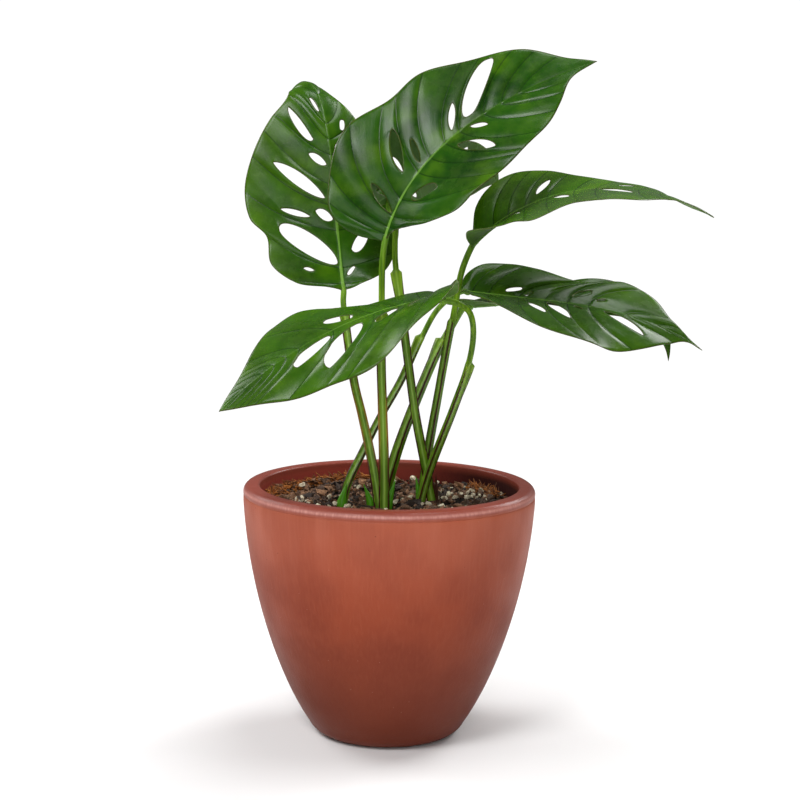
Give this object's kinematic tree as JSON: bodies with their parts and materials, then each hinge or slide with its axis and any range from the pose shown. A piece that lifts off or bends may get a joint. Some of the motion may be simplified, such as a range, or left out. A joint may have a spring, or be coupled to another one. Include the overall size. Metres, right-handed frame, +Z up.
{
  "type": "potted swiss cheese plant",
  "caption": "Potted foliage plant with holed heart-shaped leaves on arching stalks, in a round tapering clay planter.",
  "frame": {"origin": "centre of the planter's flat foot", "axes": "+Z up along the planter's axis, -Y towards the side the plant shows best, +X to the right seen from there"},
  "size_m": [0.2381, 0.1697, 0.3515],
  "materials": {
    "clay": "matte red-brown clay, faintly streaked and speckled",
    "soil": "rough dark bark and pale grit",
    "stalk": "smooth green, satin",
    "leaf": "glossy dark green above, paler and duller below"
  },
  "bodies": {
    "root": {"pot": "clay", "soil": "soil", "stems_centre": "stalk", "stem_left": "stalk", "stem_back": "stalk", "stems_right": "stalk", "leaf_back_left": "leaf", "leaf_top": "leaf", "leaf_front_left": "leaf", "leaf_upper_right": "leaf", "leaf_right": "leaf", "leaf_behind": "leaf", "leaf_under": "leaf"}
  },
  "joints": []
}
